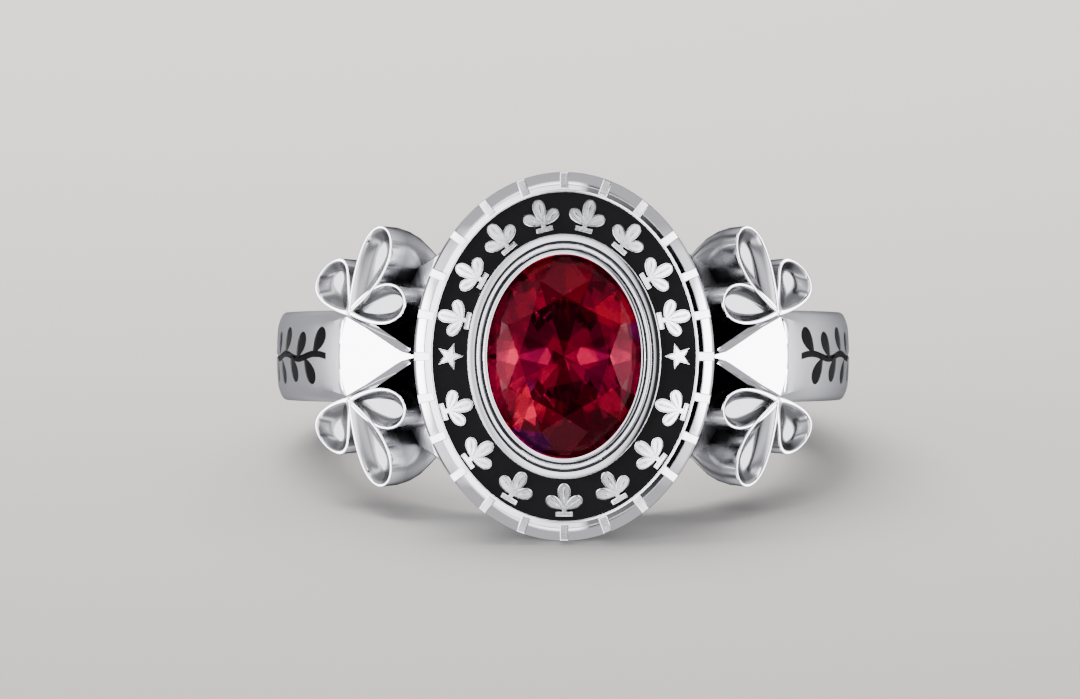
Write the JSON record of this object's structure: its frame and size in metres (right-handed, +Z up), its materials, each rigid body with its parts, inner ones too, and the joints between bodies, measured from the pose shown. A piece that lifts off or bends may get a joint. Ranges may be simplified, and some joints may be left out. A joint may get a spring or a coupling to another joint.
{
  "type": "class ring",
  "caption": "Silver class ring with an oval red stone, a black channel of raised leaves, a barred border and petal clusters on its shoulders.",
  "frame": {"origin": "on the surface that the ring lies on, under the middle of its outline", "axes": "+Z up from the surface, the stone's face looks along -Y and a little up, +X to the right of someone who looks at the stone"},
  "size_m": [0.0228, 0.0245, 0.0137],
  "materials": {
    "silver": "polished silver, darkened in the recesses",
    "red_stone": "faceted and polished",
    "black_enamel": "glossy black"
  },
  "bodies": {
    "root": {"ring_body": "silver", "stone": "red_stone", "enamel_band": "black_enamel"}
  },
  "joints": []
}
